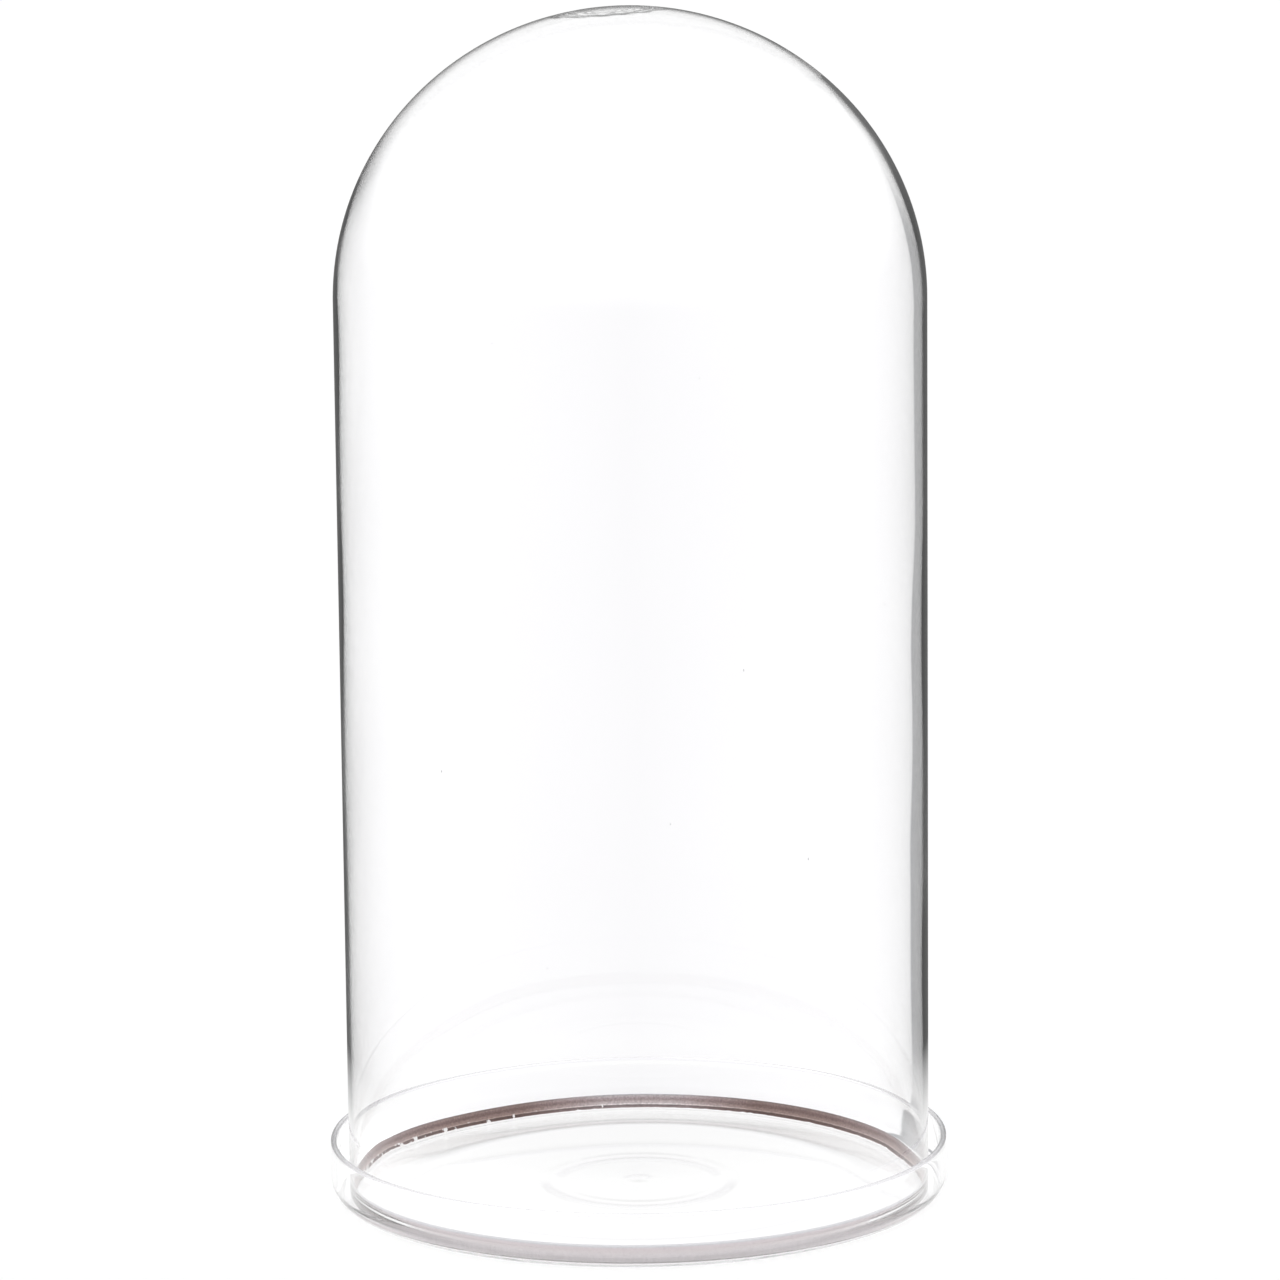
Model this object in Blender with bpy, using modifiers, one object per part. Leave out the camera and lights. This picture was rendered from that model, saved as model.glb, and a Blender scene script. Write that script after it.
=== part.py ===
"""A glass cloche: a tall blown-glass dome that stands inside the rim of a shallow glass dish.

Metres, +Z up. The origin is on the common axis, at the bottom of the dish's foot.
Both pieces are turned shapes: a profile in the XZ plane, swept round Z.
"""

import math

import bmesh
import bpy

# Dish
DISH_RADIUS = 0.1062
DISH_HEIGHT = 0.0194
DISH_WALL = 0.0020
FLOOR_THICKNESS = 0.0016
CORNER_RADIUS = 0.0060  # outside, between the wall and the foot
INNER_CORNER_RADIUS = 0.0015  # inside, between the wall and the floor
FOOT_WIDTH = 0.0090  # flat ring that stands on the table
KICK_WIDTH = 0.0190  # sloping ring between the foot and the raised middle
KICK_RISE = 0.0010  # how far the middle of the floor is pushed up
RIPPLE_RADIUS = 0.0300  # low ring left in the floor by spinning the hot glass
RIPPLE_WIDTH = 0.0120
RIPPLE_HEIGHT = 0.00013
DIMPLE_RADIUS = 0.0070
DIMPLE_DEPTH = 0.00015

# Dome
DOME_RADIUS = 0.1000
DOME_HEIGHT = 0.4046
DOME_WALL = 0.0019
CROWN_RISE = 0.0980  # height of the rounded top, a little flatter than a half sphere
CROWN_WALL = 0.0014
BEAD_THICKNESS = 0.0030  # thickened edge round the dome's mouth
BEAD_HEIGHT = 0.0050
EDGE_RADIUS = 0.0008  # where the ground edge meets the wall's two faces

REST_GAP = 0.0003  # between the dome's ground edge and the dish's floor

TURN_STEPS = 64
CROWN_STEPS = 12
CORNER_STEPS = 4
EDGE_STEPS = 2
LIP_STEPS = 3
SLOPE_STEPS = 5
BUMP_STEPS = 10


def clear_scene():
    for old_object in list(bpy.data.objects):
        bpy.data.objects.remove(old_object, do_unlink=True)


def glass(name, color, roughness):
    material = bpy.data.materials.new(name)
    material.use_nodes = True
    shader = material.node_tree.nodes["Principled BSDF"]
    shader.inputs["Base Color"].default_value = (*color, 1.0)
    shader.inputs["Roughness"].default_value = roughness
    shader.inputs["Metallic"].default_value = 0.0
    shader.inputs["IOR"].default_value = 1.5
    shader.inputs["Transmission Weight"].default_value = 1.0
    return material


def arc(center_x, center_z, radius_x, radius_z, first_angle, last_angle, steps):
    """Points of an elliptical arc in the XZ plane. Angles are in degrees, from +X towards +Z."""
    points = []
    for step in range(steps + 1):
        angle = math.radians(first_angle + (last_angle - first_angle) * step / steps)
        x = center_x + radius_x * math.cos(angle)
        z = center_z + radius_z * math.sin(angle)
        points.append((abs(x), z))
    return points


def smooth_step(share):
    return (1 - math.cos(math.pi * share)) / 2


def smooth_bump(share):
    return (1 - math.cos(2 * math.pi * share)) / 2


def eased(first, last, ease, steps):
    """Points that run evenly along X from first to last, while Z follows the ease."""
    (x0, z0), (x1, z1) = first, last
    shares = [step / steps for step in range(steps + 1)]
    return [(x0 + (x1 - x0) * share, z0 + (z1 - z0) * ease(share)) for share in shares]


def bead_shoulder(first, last):
    """The inside of the dome's mouth, rising evenly along Z while X follows a smooth step."""
    flipped = eased(first[::-1], last[::-1], smooth_step, SLOPE_STEPS)
    return [(x, z) for z, x in flipped]


def dome_profile():
    """From the top of the crown down the outside, round the ground edge and up the inside."""
    bottom = FLOOR_THICKNESS + REST_GAP
    shoulder = bottom + DOME_HEIGHT - CROWN_RISE
    inner_radius = DOME_RADIUS - DOME_WALL
    mouth_radius = DOME_RADIUS - BEAD_THICKNESS
    edge_z = bottom + EDGE_RADIUS
    points = arc(0, shoulder, DOME_RADIUS, CROWN_RISE, 90, 0, CROWN_STEPS)
    points += arc(DOME_RADIUS - EDGE_RADIUS, edge_z, EDGE_RADIUS, EDGE_RADIUS, 0, -90, EDGE_STEPS)
    points += arc(mouth_radius + EDGE_RADIUS, edge_z, EDGE_RADIUS, EDGE_RADIUS, 270, 180, EDGE_STEPS)
    points += bead_shoulder((mouth_radius, bottom + BEAD_HEIGHT / 2), (inner_radius, bottom + BEAD_HEIGHT))
    points += arc(0, shoulder, inner_radius, CROWN_RISE - CROWN_WALL, 0, 90, CROWN_STEPS)
    return points


def floor_from_foot(height):
    """The dish's floor line from the foot's inner side to the raised middle, at the given height."""
    foot_inside = DISH_RADIUS - CORNER_RADIUS - FOOT_WIDTH
    middle = (foot_inside - KICK_WIDTH, height + KICK_RISE)
    return eased((foot_inside, height), middle, smooth_step, SLOPE_STEPS)


def dish_profile():
    """From the lip down the outside, under the foot to the axis, and back along the floor to the lip."""
    lip_radius = DISH_WALL / 2
    lip_z = DISH_HEIGHT - lip_radius
    foot_outside = DISH_RADIUS - CORNER_RADIUS
    inner_x = DISH_RADIUS - DISH_WALL - INNER_CORNER_RADIUS
    inner_z = FLOOR_THICKNESS + INNER_CORNER_RADIUS
    middle_z = FLOOR_THICKNESS + KICK_RISE
    ripple_top = middle_z + RIPPLE_HEIGHT
    ripple_inside = RIPPLE_RADIUS - RIPPLE_WIDTH / 2
    ripple_outside = RIPPLE_RADIUS + RIPPLE_WIDTH / 2

    points = arc(DISH_RADIUS - lip_radius, lip_z, lip_radius, lip_radius, 90, 0, LIP_STEPS)
    points += arc(foot_outside, CORNER_RADIUS, CORNER_RADIUS, CORNER_RADIUS, 0, -90, CORNER_STEPS)
    points += floor_from_foot(0)
    points += [(0, KICK_RISE), (0, middle_z - DIMPLE_DEPTH)]
    points += eased((0, middle_z - DIMPLE_DEPTH), (DIMPLE_RADIUS, middle_z), smooth_step, SLOPE_STEPS)[1:]
    points += eased((ripple_inside, middle_z), (ripple_outside, ripple_top), smooth_bump, BUMP_STEPS)
    points += reversed(floor_from_foot(FLOOR_THICKNESS))
    points += arc(inner_x, inner_z, INNER_CORNER_RADIUS, INNER_CORNER_RADIUS, 270, 360, CORNER_STEPS)
    points += arc(DISH_RADIUS - lip_radius, lip_z, lip_radius, lip_radius, 180, 90, LIP_STEPS)[:-1]
    return points


def turned_piece(name, profile, closed, material, collection):
    """A solid of revolution about Z, with its origin on the axis."""
    mesh = bpy.data.meshes.new(name)
    outline = bmesh.new()
    corners = [outline.verts.new((x, 0, z)) for x, z in profile]
    for start, end in zip(corners, corners[1:]):
        outline.edges.new((start, end))
    if closed:
        outline.edges.new((corners[-1], corners[0]))
    outline.to_mesh(mesh)
    outline.free()
    mesh.materials.append(material)

    piece = bpy.data.objects.new(name, mesh)
    collection.objects.link(piece)
    turn = piece.modifiers.new("turn", "SCREW")
    turn.axis = "Z"
    turn.angle = math.radians(360)
    turn.screw_offset = 0
    turn.steps = TURN_STEPS
    turn.render_steps = TURN_STEPS
    turn.use_merge_vertices = True
    turn.merge_threshold = 0.00001
    turn.use_smooth_shade = True
    return piece


def build():
    clear_scene()
    collection = bpy.data.collections.new("glass_cloche")
    bpy.context.scene.collection.children.link(collection)

    dish_glass = glass("dish_glass", (0.96, 0.97, 0.97), 0.02)
    dome_glass = glass("dome_glass", (0.97, 0.97, 0.98), 0.01)
    turned_piece("glass_dish", dish_profile(), True, dish_glass, collection)
    turned_piece("glass_dome", dome_profile(), False, dome_glass, collection)


build()
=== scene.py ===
"""The finished look of the glass cloche: clear blown glass with dark edges, on a white sweep.

The dome and the dish are turned again here at full fineness, with what hand-blown glass has and
the plain solids leave out: a wall of slightly uneven thickness, small seeds, ripples in the dish's
floor, a fire-polished lip, and a ground band with small chips round the dome's mouth.
"""

import math
import random

import bpy
import numpy as np
from mathutils import Matrix, Vector, noise


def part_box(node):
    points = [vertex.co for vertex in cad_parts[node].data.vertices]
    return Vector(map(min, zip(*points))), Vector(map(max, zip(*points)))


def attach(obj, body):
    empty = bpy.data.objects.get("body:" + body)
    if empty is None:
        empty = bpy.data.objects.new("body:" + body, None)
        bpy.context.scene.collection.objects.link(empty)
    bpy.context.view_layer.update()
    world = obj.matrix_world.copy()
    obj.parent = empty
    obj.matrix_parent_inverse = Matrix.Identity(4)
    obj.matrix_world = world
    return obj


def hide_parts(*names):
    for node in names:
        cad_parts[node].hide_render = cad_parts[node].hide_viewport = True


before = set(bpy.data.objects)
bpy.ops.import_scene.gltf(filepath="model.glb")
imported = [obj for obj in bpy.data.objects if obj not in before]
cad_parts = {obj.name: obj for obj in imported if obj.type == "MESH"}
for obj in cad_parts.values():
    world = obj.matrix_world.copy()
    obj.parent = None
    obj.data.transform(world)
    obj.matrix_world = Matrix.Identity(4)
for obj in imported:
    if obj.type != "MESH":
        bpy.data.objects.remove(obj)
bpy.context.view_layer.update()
dome_low, dome_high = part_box("glass_dome")
dish_low, dish_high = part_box("glass_dish")

# Dome
DOME_RADIUS = dome_high.x
DOME_BOTTOM = dome_low.z
DOME_WALL = 0.0019
CROWN_RISE = 0.0980
CROWN_WALL = 0.0014
BEAD_THICKNESS = 0.0030
BEAD_HEIGHT = 0.0050
EDGE_RADIUS = 0.0008
SHOULDER = dome_high.z - CROWN_RISE
MOUTH_RADIUS = DOME_RADIUS - BEAD_THICKNESS
INNER_RADIUS = DOME_RADIUS - DOME_WALL

# The blown wall's unevenness, on its inner face
WAVE_DEPTH = 0.00016
WAVE_ROUND = 1.6  # noise cells across the dome
WAVE_ALONG = 17.0  # noise cells a metre up the wall

THIN_SIDE = 0.0004  # how much thinner the wall is on the side away from +X

# The crown's unevenness: blown thin above a slanting line, lower on the side away from +X, with a
# thick spot near the top
THIN_SHARE = 0.60
THIN_RISE = math.radians(22)
THIN_SLANT = math.radians(11)
THIN_SPAN = math.radians(24)
SPOT_DEPTH = 0.0008
SPOT_X = -0.006
SPOT_RADIUS = 0.017
SPOT_EDGE = 0.004

# Seeds: tiny bubbles in the dome's wall
SEEDS = 14
SEED_RADIUS = (0.00012, 0.00028)

# Ground band inside the dome's mouth. Scales are in noise cells a metre.
BAND_HEIGHT = 0.0052
BAND_SKIN = 0.00006
BAND_GAP = 0.00005
CHIP_DEPTH = 0.0004
CHIP_SCALE = 330
RAGGED_SCALE = 420
SPECKLE_SCALE = 1500

# Dish
DISH_RADIUS = dish_high.x
DISH_HEIGHT = dish_high.z
DISH_WALL = 0.0020
FLOOR_THICKNESS = 0.0016
CORNER_RADIUS = 0.0060
INNER_CORNER_RADIUS = 0.0015
FOOT_WIDTH = 0.0090
KICK_WIDTH = 0.0190
KICK_RISE = 0.0010
RIPPLE_RADIUS = 0.0300
RIPPLE_WIDTH = 0.0105
RIPPLE_HEIGHT = 0.00013
DIMPLE_RADIUS = 0.0063
DIMPLE_DEPTH = 0.00015

TURN_STEPS = 420
GLASS_IOR = 1.5
NO_TINT = (1.0, 1.0, 1.0)
# Painted shade on the outer glass towards its edges, with a little real loss of light through the edge
OUTER_EDGE_ABSORPTION_AND_SHADE = (0.75, 0.75, 0.75)
LIP_TINT = (0.89, 0.88, 0.92)
LIP_ROUGHNESS = 0.1
LIP_STEPS = 8

# Camera
CAMERA_DISTANCE = 1.900
CAMERA_HEIGHT = 0.5225
CAMERA_SIDE = 0.0022
CAMERA_PITCH = 9.88
CAMERA_ROLL = 0.573
CAMERA_LENS = 159.4

# Studio. Levels and colours are brightness against the white background.
THROUGH_COLOR = (1.044, 1.040, 1.056)  # seen straight through the glass
LOW_LEVEL = 1.11  # the same, seen steeply down through the dish
BRIGHT_LEVEL = 2.10  # the left of the window, seen through the glass near its left edge
CARD_COLOR = (0.355, 0.360, 0.380)  # a grey card at its right, seen through the glass near its edge
EDGE_LEVEL = 0.02  # dark surroundings, which the glass's edges turn towards the eye
MIRROR_LEVEL = 0.19  # what the glass's outer faces mirror
WINDOW_SPAN = math.radians(45)  # the window and its card, centred on +Y, behind the glass
HORIZON = 0.5  # where a ramp over a direction's height has the horizon
WHITE_RADIUS = 0.14  # the floor is white for the edges too up to here, and dark beyond the next
DARK_RADIUS = 0.25
FLOOR_SIDE = 60
FLOOR_DROP = 0.0001  # how far the floor is under the dish
BOUNCES = 128  # light is guided a long way round the dish's lip


def arc(center_x, center_z, radius_x, radius_z, first_angle, last_angle, steps):
    """Points of an elliptical arc in the XZ plane. Angles are in degrees, from +X towards +Z."""
    angles = np.radians(np.linspace(first_angle, last_angle, steps + 1))
    return [(abs(center_x + radius_x * math.cos(a)), center_z + radius_z * math.sin(a)) for a in angles]


def line(first, last, steps):
    """The points between first and last, without the two themselves."""
    (x0, z0), (x1, z1) = first, last
    shares = [step / steps for step in range(1, steps)]
    return [(x0 + (x1 - x0) * share, z0 + (z1 - z0) * share) for share in shares]


def clamped(share):
    return min(max(share, 0), 1)


def smooth_step(share):
    return (1 - math.cos(math.pi * share)) / 2


def smooth_bump(share):
    return (1 - math.cos(2 * math.pi * share)) / 2


def eased(first, last, ease, steps):
    """Points that run evenly along X from first to last, while Z follows the ease."""
    (x0, z0), (x1, z1) = first, last
    shares = [step / steps for step in range(steps + 1)]
    return [(x0 + (x1 - x0) * share, z0 + (z1 - z0) * ease(share)) for share in shares]


def mouth_radius_at(height):
    """The radius of the mouth's inner face at a height over the dome's ground edge."""
    share = height / BEAD_HEIGHT
    return MOUTH_RADIUS + (INNER_RADIUS - MOUTH_RADIUS) * smooth_step(clamped(share))


# The sides of a turned piece. Each is also the place of its material.
OUTSIDE, INSIDE, GROUND = 0, 1, 2
BARE, BEHIND = 0, 1
CLEAR, LIP = 0, 1


def dome_profile():
    """From the top of the crown down the outside, round the ground edge and up the inside.

    Returns the points, and for each band between two points the side it is on."""
    edge_z = DOME_BOTTOM + EDGE_RADIUS
    outer = arc(0, SHOULDER, DOME_RADIUS, CROWN_RISE, 90, 0, 64)
    outer += line((DOME_RADIUS, SHOULDER), (DOME_RADIUS, edge_z), 12)
    outer += arc(DOME_RADIUS - EDGE_RADIUS, edge_z, EDGE_RADIUS, EDGE_RADIUS, 0, -90, 6)
    ground = line((DOME_RADIUS - EDGE_RADIUS, DOME_BOTTOM), (MOUTH_RADIUS + EDGE_RADIUS, DOME_BOTTOM), 4)
    inner = arc(MOUTH_RADIUS + EDGE_RADIUS, edge_z, EDGE_RADIUS, EDGE_RADIUS, 270, 180, 6)
    heights = np.linspace(EDGE_RADIUS, BEAD_HEIGHT, 15)
    inner += [(mouth_radius_at(height), DOME_BOTTOM + height) for height in heights]
    inner += line((INNER_RADIUS, DOME_BOTTOM + BEAD_HEIGHT), (INNER_RADIUS, SHOULDER), 60)
    inner += arc(0, SHOULDER, INNER_RADIUS, CROWN_RISE - CROWN_WALL, 0, 90, 64)
    sides = [OUTSIDE] * (len(outer) - 1) + [GROUND] * (len(ground) + 1) + [INSIDE] * (len(inner) - 1)
    return outer + ground + inner, sides


def band_profile():
    """The skin of ground glass inside the mouth, a closed outline: its bare face, then its glass face."""
    heights = np.linspace(BAND_HEIGHT, EDGE_RADIUS / 2, 25)
    bare = [(mouth_radius_at(h) - BAND_GAP - BAND_SKIN, DOME_BOTTOM + h) for h in heights]
    behind = [(mouth_radius_at(h) - BAND_GAP, DOME_BOTTOM + h) for h in reversed(heights)]
    return bare + behind + bare[:1], [BARE] * (len(bare) - 1) + [BEHIND] * (len(behind) + 1)


def dish_profile():
    """From the lip down the outside, under the foot to the axis, and back along the floor to the lip.

    Returns the points, and for each band between two points the side it is on."""
    lip_radius = DISH_WALL / 2
    lip_x = DISH_RADIUS - lip_radius
    lip_z = DISH_HEIGHT - lip_radius
    foot_outside = DISH_RADIUS - CORNER_RADIUS
    foot_inside = foot_outside - FOOT_WIDTH
    kick_inside = foot_inside - KICK_WIDTH
    inner_wall = DISH_RADIUS - DISH_WALL
    inner_x = inner_wall - INNER_CORNER_RADIUS
    inner_z = FLOOR_THICKNESS + INNER_CORNER_RADIUS
    middle_z = FLOOR_THICKNESS + KICK_RISE
    ripple_first = (RIPPLE_RADIUS - RIPPLE_WIDTH / 2, middle_z)
    ripple_last = (RIPPLE_RADIUS + RIPPLE_WIDTH / 2, middle_z + RIPPLE_HEIGHT)

    under = arc(lip_x, lip_z, lip_radius, lip_radius, 90, 0, LIP_STEPS)
    under += line((DISH_RADIUS, lip_z), (DISH_RADIUS, CORNER_RADIUS), 6)
    under += arc(foot_outside, CORNER_RADIUS, CORNER_RADIUS, CORNER_RADIUS, 0, -90, 16)
    under += eased((foot_inside, 0), (kick_inside, KICK_RISE), smooth_step, 16)
    under += line((kick_inside, KICK_RISE), (0, KICK_RISE), 12) + [(0, KICK_RISE)]
    over = eased((0, middle_z - DIMPLE_DEPTH), (DIMPLE_RADIUS, middle_z), smooth_step, 10)
    over += eased(ripple_first, ripple_last, smooth_bump, 24)
    over += line(over[-1], (kick_inside, middle_z), 6)
    over += eased((kick_inside, middle_z), (foot_inside, FLOOR_THICKNESS), smooth_step, 16)
    over += arc(inner_x, inner_z, INNER_CORNER_RADIUS, INNER_CORNER_RADIUS, 270, 360, 10)
    over += line((inner_wall, inner_z), (inner_wall, lip_z), 6)
    over += arc(lip_x, lip_z, lip_radius, lip_radius, 180, 90, LIP_STEPS)
    profile = under + over
    lip = [LIP] * LIP_STEPS
    return profile, lip + [CLEAR] * (len(profile) - 1 - 2 * LIP_STEPS) + lip


def ring_points(x, z, shape):
    """One turn of a profile point. shape(x, z, angle) may move it."""
    angles = np.arange(TURN_STEPS) * 2 * math.pi / TURN_STEPS
    moved = [(*shape(x, z, angle), angle) for angle in angles]
    return [(r * math.cos(angle), r * math.sin(angle), height) for r, height, angle in moved]


def unmoved(x, z, angle):
    return x, z


def turned_mesh(profile, sides, shapes):
    """Points, faces and each face's side. A profile that returns to its first point is closed.

    A point on the axis becomes one vertex."""
    closed = profile[0] == profile[-1]
    points, rings, faces, face_sides = [], [], [], []
    for (x, z), side in zip(profile[:-1] if closed else profile, sides + sides[-1:]):
        if x < 1e-6:
            rings.append([len(points)])
            points.append((0, 0, shapes.get(side, unmoved)(0, z, 0)[1]))
        else:
            rings.append(range(len(points), len(points) + TURN_STEPS))
            points += ring_points(x, z, shapes.get(side, unmoved))
    if closed:
        rings.append(rings[0])
    for upper, lower, side in zip(rings, rings[1:], sides):
        if len(upper) == 1 and len(lower) == 1:
            continue
        for i in range(TURN_STEPS):
            j = (i + 1) % TURN_STEPS
            if len(upper) == 1:
                faces.append((upper[0], lower[i], lower[j]))
            elif len(lower) == 1:
                faces.append((upper[i], lower[0], upper[j]))
            else:
                faces.append((upper[i], lower[i], lower[j], upper[j]))
            face_sides.append(side)
    return points, faces, face_sides


def new_piece(name, points, faces, face_sides, materials):
    mesh = bpy.data.meshes.new(name)
    mesh.from_pydata(points, [], faces)
    for material in materials:
        mesh.materials.append(material)
    mesh.polygons.foreach_set("material_index", face_sides)
    mesh.shade_smooth()
    mesh.update()
    piece = bpy.data.objects.new(name, mesh)
    bpy.context.scene.collection.objects.link(piece)
    return piece


def wavy(x, z, angle):
    """The inner face of the blown wall, whose thickness wanders a little. It fades at the mouth and crown.

    The crown is thinner on the side away from +X, and has a thick spot at its top."""
    place = Vector((WAVE_ROUND * math.cos(angle), WAVE_ROUND * math.sin(angle), WAVE_ALONG * z))
    fade = clamped((z - DOME_BOTTOM - BEAD_HEIGHT) / 0.02) * min(x / DOME_RADIUS, 1) ** 2
    offset = -fade * (WAVE_DEPTH * noise.noise(place) + THIN_SIDE * (1 - math.cos(angle)) / 2)
    rise = math.atan2(max(z - SHOULDER, 0), x)
    wall = DOME_WALL + (CROWN_WALL - DOME_WALL) * math.sin(rise)
    start = THIN_RISE + THIN_SLANT * math.cos(angle)
    offset -= THIN_SHARE * wall * smooth_step(clamped((rise - start) / THIN_SPAN))
    from_spot = math.hypot(x * math.cos(angle) - SPOT_X, x * math.sin(angle))
    if z > SHOULDER:
        offset += SPOT_DEPTH * smooth_step(clamped((SPOT_RADIUS - from_spot) / SPOT_EDGE))
    return x - offset * math.cos(rise), z - offset * math.sin(rise)


def chipped(x, z, angle):
    """The skin of the ground band. Its lower edge is bitten away here and there."""
    height = z - DOME_BOTTOM
    place = Vector((70 * math.cos(angle), 70 * math.sin(angle), 3.0))
    fine = Vector((260 * math.cos(angle), 260 * math.sin(angle), 9.0))
    bite = max(noise.noise(place) - 0.15, 0) * 2.2 + 0.25 * max(noise.noise(fine), 0)
    low_share = max(1 - height / 0.0016, 0)
    return x, z + CHIP_DEPTH * low_share * min(bite, 1)


def seed_mesh(rng):
    """One seed: a tiny drawn-out bubble in the dome's wall. Its faces point into the bubble."""
    radius = rng.uniform(*SEED_RADIUS)
    angle = rng.uniform(0, 2 * math.pi)
    height = rng.uniform(0.03, 0.29)
    center_x = DOME_RADIUS - DOME_WALL * rng.uniform(0.35, 0.6)
    rounds, levels, stretch = 10, 6, rng.uniform(1.2, 2.6)
    points = [(0, 0, -radius * stretch)]
    for level in range(1, levels):
        tilt = math.pi * level / levels
        for step in range(rounds):
            turn = 2 * math.pi * step / rounds
            flat = radius * math.sin(tilt)
            points.append((flat * math.cos(turn), flat * math.sin(turn), -radius * stretch * math.cos(tilt)))
    points.append((0, 0, radius * stretch))
    top = len(points) - 1
    faces = []
    for step in range(rounds):
        after = (step + 1) % rounds
        faces.append((0, 1 + step, 1 + after))
        for level in range(levels - 2):
            low, high = 1 + level * rounds, 1 + (level + 1) * rounds
            faces.append((low + step, high + step, high + after, low + after))
        last = 1 + (levels - 2) * rounds
        faces.append((last + step, top, last + after))
    place = Matrix.Rotation(angle, 4, "Z") @ Matrix.Translation((center_x, 0, DOME_BOTTOM + height))
    return [tuple(place @ Vector(point)) for point in points], faces


def make_dome(outer_glass, inner_glass, ground_edge):
    points, faces, sides = turned_mesh(*dome_profile(), {INSIDE: wavy})
    rng = random.Random(11)
    for _ in range(SEEDS):
        seed_points, seed_faces = seed_mesh(rng)
        faces += [tuple(corner + len(points) for corner in face) for face in seed_faces]
        points += seed_points
        sides += [INSIDE] * len(seed_faces)
    dome = new_piece("dome", points, faces, sides, [outer_glass, inner_glass, ground_edge])
    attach(dome, "dome")
    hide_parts("glass_dome")


def make_ground_band(bare_face, glass_face):
    mesh = turned_mesh(*band_profile(), {BARE: chipped, BEHIND: chipped})
    band = new_piece("dome_ground_band", *mesh, [bare_face, glass_face])
    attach(band, "dome")
    band.visible_glossy = False


def make_dish(clear, lip):
    points, faces, sides = turned_mesh(*dish_profile(), {})
    dish = new_piece("dish", points, faces, sides, [clear, lip])
    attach(dish, "dish")
    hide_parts("glass_dish")


def calculate(nodes, links, operation, *values):
    """A Math node on sockets or plain numbers. Returns its output."""
    node = nodes.new("ShaderNodeMath")
    node.operation = operation
    for socket, value in zip(node.inputs, values):
        if isinstance(value, (int, float)):
            socket.default_value = value
        else:
            links.new(value, socket)
    return node.outputs[0]


def ramp(nodes, links, value, stops):
    """A Color Ramp. Each stop is a place and a grey level or a colour."""
    node = nodes.new("ShaderNodeValToRGB")
    elements = node.color_ramp.elements
    while len(elements) < len(stops):
        elements.new(0.5)
    for element, (place, level) in zip(elements, stops):
        element.position = place
        element.color = (level, level, level, 1) if isinstance(level, (int, float)) else (*level, 1)
    links.new(value, node.inputs["Fac"])
    return node.outputs["Color"]


def blend(nodes, links, share, first, second, blend_type="MIX"):
    """A colour Mix node on sockets, plain levels or colours. Returns its output."""
    node = nodes.new("ShaderNodeMix")
    node.data_type = "RGBA"
    node.blend_type = blend_type
    if isinstance(share, (int, float)):
        node.inputs[0].default_value = share
    else:
        links.new(share, node.inputs[0])
    for socket, value in ((node.inputs[6], first), (node.inputs[7], second)):
        if isinstance(value, (int, float)):
            socket.default_value = (value, value, value, 1)
        elif isinstance(value, tuple):
            socket.default_value = (*value, 1)
        else:
            links.new(value, socket)
    return node.outputs[2]


def noise_value(nodes, links, vector, scale, detail=2.0):
    node = nodes.new("ShaderNodeTexNoise")
    node.inputs["Scale"].default_value = scale
    node.inputs["Detail"].default_value = detail
    links.new(vector, node.inputs["Vector"])
    return node.outputs["Fac"]


def new_material(name):
    material = bpy.data.materials.new(name)
    material.use_nodes = True
    tree = material.node_tree
    return material, tree.nodes, tree.links, tree.nodes["Principled BSDF"]


def clear_glass(name, roughness, tint, edge_absorption_and_shade=None):
    """Clear glass. A long way through its edge takes a little of the light, and painted shade stands in for
    the dark surroundings its edges show, so it may be darkened by angle.
    """
    material, nodes, links, shader = new_material(name)
    shader.inputs["Base Color"].default_value = (*tint, 1)
    shader.inputs["Roughness"].default_value = roughness
    shader.inputs["IOR"].default_value = GLASS_IOR
    shader.inputs["Transmission Weight"].default_value = 1.0
    if edge_absorption_and_shade:
        # Darker at grazing angles: partly light lost through the glass, partly painted shade of dark
        # surroundings
        facing = nodes.new("ShaderNodeLayerWeight")
        facing.inputs["Blend"].default_value = 0.5
        stops = [(0.0, tint), (0.8, tint), (1.0, edge_absorption_and_shade)]
        color = ramp(nodes, links, facing.outputs["Facing"], stops)
        links.new(color, shader.inputs["Base Color"])
    return material


def height_in_band(nodes, links, raggedness):
    """0 at the ground edge and 1 at the top of the band, a little ragged all the way.

    Returns it with the place, and how far that place is along X."""
    place = nodes.new("ShaderNodeTexCoord").outputs["Object"]
    split = nodes.new("ShaderNodeSeparateXYZ")
    links.new(place, split.inputs[0])
    above = calculate(nodes, links, "SUBTRACT", split.outputs["Z"], DOME_BOTTOM)
    share = calculate(nodes, links, "DIVIDE", above, BAND_HEIGHT)
    rough = noise_value(nodes, links, place, RAGGED_SCALE, 3.0)
    wander = calculate(nodes, links, "MULTIPLY_ADD", rough, raggedness, -raggedness / 2)
    return calculate(nodes, links, "ADD", share, wander), place, split.outputs["X"]


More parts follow.
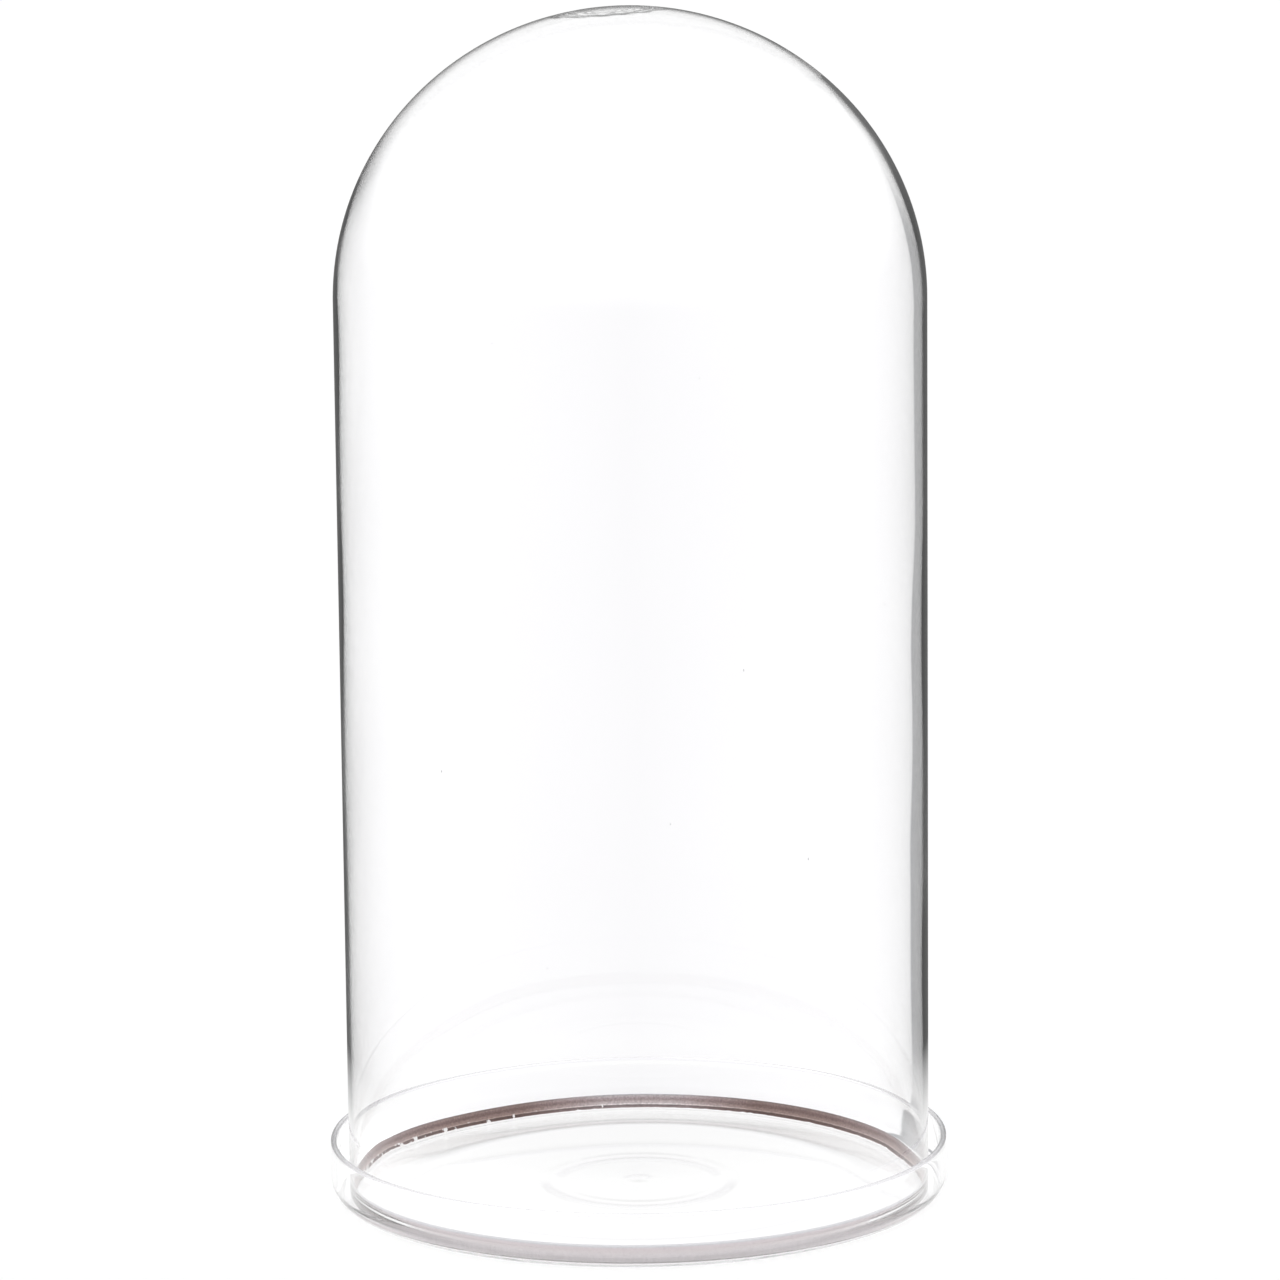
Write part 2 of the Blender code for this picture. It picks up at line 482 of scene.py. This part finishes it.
def ground_surface(name, stops, speckle_stops, raggedness, bump_strength, bare):
    """Ground glass, coloured by its height in the band, with fine speckles.

    The bare face has bright chips low down, more of them towards -X, and is darker to its sides, which is
    painted shade."""
    material, nodes, links, shader = new_material(name)
    height, place, across = height_in_band(nodes, links, raggedness)
    color = ramp(nodes, links, height, stops)
    speckle = noise_value(nodes, links, place, SPECKLE_SCALE, 4.0)
    color = blend(nodes, links, 1.0, color, ramp(nodes, links, speckle, speckle_stops), "MULTIPLY")
    if bare:
        # Painted shade towards the sides
        beside = calculate(nodes, links, "ABSOLUTE", across)
        beside = calculate(nodes, links, "DIVIDE", beside, DOME_RADIUS)
        color = blend(nodes, links, 1.0, color, ramp(nodes, links, beside, SIDE_SHADE_STOPS), "MULTIPLY")
        spots = noise_value(nodes, links, place, CHIP_SCALE)
        low = ramp(nodes, links, height, [(0.0, 1.0), (0.30, 1.0), (0.40, 0.0)])
        strength = calculate(nodes, links, "SUBTRACT", spots, across)
        chips = ramp(nodes, links, strength, [(0.66, 0.0), (0.70, 1.0)])
        chips = calculate(nodes, links, "MULTIPLY", chips, low)
        color = blend(nodes, links, chips, color, CHIP_COLOR)
    links.new(color, shader.inputs["Base Color"])
    shader.inputs["Roughness"].default_value = 0.55
    shader.inputs["Specular IOR Level"].default_value = 0.3
    bump = nodes.new("ShaderNodeBump")
    bump.inputs["Strength"].default_value = bump_strength
    bump.inputs["Distance"].default_value = 0.0002
    links.new(speckle, bump.inputs["Height"])
    links.new(bump.outputs["Normal"], shader.inputs["Normal"])
    return material


BARE_STOPS = [
    (0.00, (0.75, 0.62, 0.62)),
    (0.08, (0.50, 0.41, 0.41)),
    (0.15, (0.31, 0.25, 0.25)),
    (0.20, (0.23, 0.18, 0.18)),
    (0.29, (0.30, 0.25, 0.25)),
    (0.31, (0.88, 0.82, 0.82)),
    (0.35, (0.88, 0.82, 0.82)),
    (0.38, (0.60, 0.53, 0.53)),
    (0.48, (0.56, 0.48, 0.48)),
    (0.62, (0.38, 0.31, 0.31)),
    (0.72, (0.41, 0.33, 0.34)),
    (0.84, (0.55, 0.48, 0.49)),
    (0.92, (0.48, 0.44, 0.45)),
    (1.00, (0.60, 0.60, 0.64)),
]
# Painted shade: the bare face gets darker away from the middle of X, darkest about halfway out
SIDE_SHADE_STOPS = [
    (0.12, 1.0),
    (0.25, (0.80, 0.73, 0.71)),
    (0.42, (0.50, 0.40, 0.36)),
    (0.66, (0.55, 0.45, 0.41)),
    (0.90, (0.72, 0.63, 0.60)),
]
CHIP_COLOR = (0.95, 0.93, 0.92)
# Painted light: the glass face is paler than the bare face, standing in for light from inside the dome
# coming through the ground skin, over the ground glass's own pinkish grey
GLASS_FACE_LIT_THROUGH_STOPS = [
    (0.00, (0.85, 0.76, 0.76)),
    (0.05, (0.60, 0.56, 0.56)),
    (0.12, (0.58, 0.54, 0.55)),
    (0.22, (0.70, 0.66, 0.67)),
    (0.32, (0.78, 0.73, 0.75)),
    (0.50, (0.74, 0.67, 0.68)),
    (0.76, (0.76, 0.68, 0.70)),
    (0.86, (0.72, 0.71, 0.75)),
    (0.94, (0.90, 0.90, 0.93)),
]


def direction_share(nodes, links, direction):
    """How far across the window a direction lies, 0 to 1 from its left to its right, and its height."""
    split = nodes.new("ShaderNodeSeparateXYZ")
    links.new(direction, split.inputs[0])
    x, y, z = split.outputs
    azimuth = calculate(nodes, links, "ARCTAN2", x, y)
    return calculate(nodes, links, "MULTIPLY_ADD", azimuth, 1 / WINDOW_SPAN, 0.5), z


def ray_kinds(nodes, links):
    """1 or 0 for each kind of ray: from the camera, straight through glass, turned once by the
    glass's edge, turned more often inside the glass, and mirrored by its outer face."""
    path = nodes.new("ShaderNodeLightPath").outputs
    refracted = path["Is Transmission Ray"]
    turned_back = calculate(nodes, links, "GREATER_THAN", path["Glossy Depth"], 0.5)
    straight = calculate(nodes, links, "SUBTRACT", refracted, turned_back)
    straight = calculate(nodes, links, "MAXIMUM", straight, 0.0)
    few_faces = calculate(nodes, links, "LESS_THAN", path["Transmission Depth"], 2.5)
    unlit = calculate(nodes, links, "LESS_THAN", path["Diffuse Depth"], 0.5)
    edge = calculate(nodes, links, "MULTIPLY", turned_back, few_faces)
    edge = calculate(nodes, links, "MULTIPLY", edge, unlit)
    edge = calculate(nodes, links, "MULTIPLY", edge, refracted)
    often = calculate(nodes, links, "GREATER_THAN", path["Glossy Depth"], 1.5)
    guided = calculate(nodes, links, "MULTIPLY", edge, often)
    no_face = calculate(nodes, links, "LESS_THAN", path["Transmission Depth"], 0.5)
    mirror = calculate(nodes, links, "MULTIPLY", turned_back, no_face)
    return path["Is Camera Ray"], straight, edge, guided, mirror


def make_world():
    """White all round for the camera, and what the glass needs to show its shape."""
    world = bpy.data.worlds.new("studio")
    world.use_nodes = True
    nodes, links = world.node_tree.nodes, world.node_tree.links
    direction = nodes.new("ShaderNodeTexCoord").outputs["Generated"]
    share, height = direction_share(nodes, links, direction)
    camera, straight, edge, guided, mirror = ray_kinds(nodes, links)

    lifted = calculate(nodes, links, "ADD", height, HORIZON)
    sky = ramp(nodes, links, lifted, [(0.50, 1.0), (0.60, 0.80), (0.69, 0.48), (0.75, 0.92), (0.85, 1.0)])
    cards = ramp(nodes, links, share, [(0.0, 0.0), (0.683, 0.0), (0.692, 1.0), (0.92, 1.0), (0.95, 0.0)])
    card_heights = ramp(nodes, links, lifted, [(0.244, 0.0), (0.260, 1.0), (0.43, 1.0), (0.46, 0.0)])
    cards = calculate(nodes, links, "MULTIPLY", cards, card_heights)
    bright = ramp(nodes, links, share, [
        (0.00, 0.0), (0.04, 1.0), (0.24, 1.0), (0.31, 0.55), (0.37, 0.22), (0.45, 0.06),
        (0.50, 0.0), (0.55, 0.06), (0.66, 0.20), (0.96, 0.20), (1.00, 0.0)])
    through = ramp(nodes, links, lifted, [(0.235, LOW_LEVEL), (0.265, THROUGH_COLOR)])
    window = blend(nodes, links, bright, through, BRIGHT_LEVEL)
    window = blend(nodes, links, cards, window, CARD_COLOR)
    mirrored = ramp(nodes, links, lifted, [(0.48, MIRROR_LEVEL), (0.68, 0.45), (0.78, 0.95), (0.85, 1.0)])
    turned = ramp(nodes, links, lifted, [(0.53, EDGE_LEVEL), (0.68, 1.0)])
    steep = ramp(nodes, links, lifted, [(0.85, EDGE_LEVEL), (0.97, 1.0)])

    color = blend(nodes, links, mirror, sky, mirrored)
    color = blend(nodes, links, edge, color, turned)
    color = blend(nodes, links, guided, color, steep)
    color = blend(nodes, links, straight, color, window)
    color = blend(nodes, links, camera, color, 1.0)
    links.new(color, nodes["Background"].inputs["Color"])
    bpy.context.scene.world = world


def make_floor():
    """The white sweep. Rays straight through the glass pass it, and see the world below."""
    mesh = bpy.data.meshes.new("floor")
    half = FLOOR_SIDE / 2
    corners = [(-half, -half, 0), (half, -half, 0), (half, half, 0), (-half, half, 0)]
    mesh.from_pydata(corners, [], [(0, 1, 2, 3)])
    floor = bpy.data.objects.new("floor", mesh)
    floor.location.z = -FLOOR_DROP
    bpy.context.scene.collection.objects.link(floor)
    material, nodes, links, shader = new_material("white_sweep")
    shader.inputs["Base Color"].default_value = (0.3, 0.3, 0.3, 1)
    shader.inputs["Roughness"].default_value = 0.9
    shader.inputs["Specular IOR Level"].default_value = 0.0
    shader.inputs["Emission Color"].default_value = (1, 1, 1, 1)
    shader.inputs["Emission Strength"].default_value = 0.72
    camera, straight, edge, _, mirror = ray_kinds(nodes, links)

    split = nodes.new("ShaderNodeSeparateXYZ")
    links.new(nodes.new("ShaderNodeTexCoord").outputs["Object"], split.inputs[0])
    x, y, _ = split.outputs
    squares = [calculate(nodes, links, "MULTIPLY", side, side) for side in (x, y)]
    radius = calculate(nodes, links, "SQRT", calculate(nodes, links, "ADD", *squares))
    near = ramp(nodes, links, radius, [(WHITE_RADIUS, 1.0), (DARK_RADIUS, 0.0)])
    color = blend(nodes, links, mirror, 1.0, blend(nodes, links, near, MIRROR_LEVEL, 1.0))
    color = blend(nodes, links, edge, color, blend(nodes, links, near, EDGE_LEVEL, 1.0))
    glow = nodes.new("ShaderNodeEmission")
    links.new(color, glow.inputs["Color"])
    clear = nodes.new("ShaderNodeBsdfTransparent")
    unseen = nodes.new("ShaderNodeMixShader")
    links.new(straight, unseen.inputs[0])
    links.new(glow.outputs[0], unseen.inputs[1])
    links.new(clear.outputs[0], unseen.inputs[2])
    seen = nodes.new("ShaderNodeMixShader")
    links.new(camera, seen.inputs[0])
    links.new(unseen.outputs[0], seen.inputs[1])
    links.new(shader.outputs[0], seen.inputs[2])
    links.new(seen.outputs[0], nodes["Material Output"].inputs["Surface"])
    mesh.materials.append(material)


def make_camera():
    data = bpy.data.cameras.new("camera")
    data.lens = CAMERA_LENS
    data.sensor_width = 36
    camera = bpy.data.objects.new("camera", data)
    bpy.context.scene.collection.objects.link(camera)
    tilt = Matrix.Rotation(math.radians(90 - CAMERA_PITCH), 4, "X")
    roll = Matrix.Rotation(math.radians(-CAMERA_ROLL), 4, "Z")
    place = Matrix.Translation((CAMERA_SIDE, -CAMERA_DISTANCE, CAMERA_HEIGHT))
    camera.matrix_world = place @ tilt @ roll
    bpy.context.scene.camera = camera


def make_object():
    outer_glass = clear_glass("clear_glass_outer", 0.0, NO_TINT, OUTER_EDGE_ABSORPTION_AND_SHADE)
    inner_glass = clear_glass("clear_glass_inner", 0.0, NO_TINT)
    lip_glass = clear_glass("fire_polished_lip", LIP_ROUGHNESS, LIP_TINT)
    bare_face = ground_surface(
        "ground_glass_bare_face", BARE_STOPS, [(0.35, 0.75), (0.65, 1.1)], 0.05, 0.35, True)
    # Its paleness is partly painted light coming through the skin
    glass_face = ground_surface(
        "ground_glass_through_wall", GLASS_FACE_LIT_THROUGH_STOPS, [(0.35, 0.77), (0.65, 0.86)], 0.02, 0.1, False)
    make_dome(outer_glass, inner_glass, glass_face)
    make_ground_band(bare_face, glass_face)
    make_dish(inner_glass, lip_glass)


def set_light_paths():
    """Lets light go a long way inside the glass, and keeps it sharp there."""
    scene = bpy.context.scene
    scene.view_settings.view_transform = "Standard"
    scene.cycles.blur_glossy = 0
    scene.cycles.max_bounces = BOUNCES
    scene.cycles.glossy_bounces = BOUNCES
    scene.cycles.transmission_bounces = BOUNCES
    scene.cycles.transparent_max_bounces = 24


make_object()
make_floor()
make_world()
make_camera()
set_light_paths()
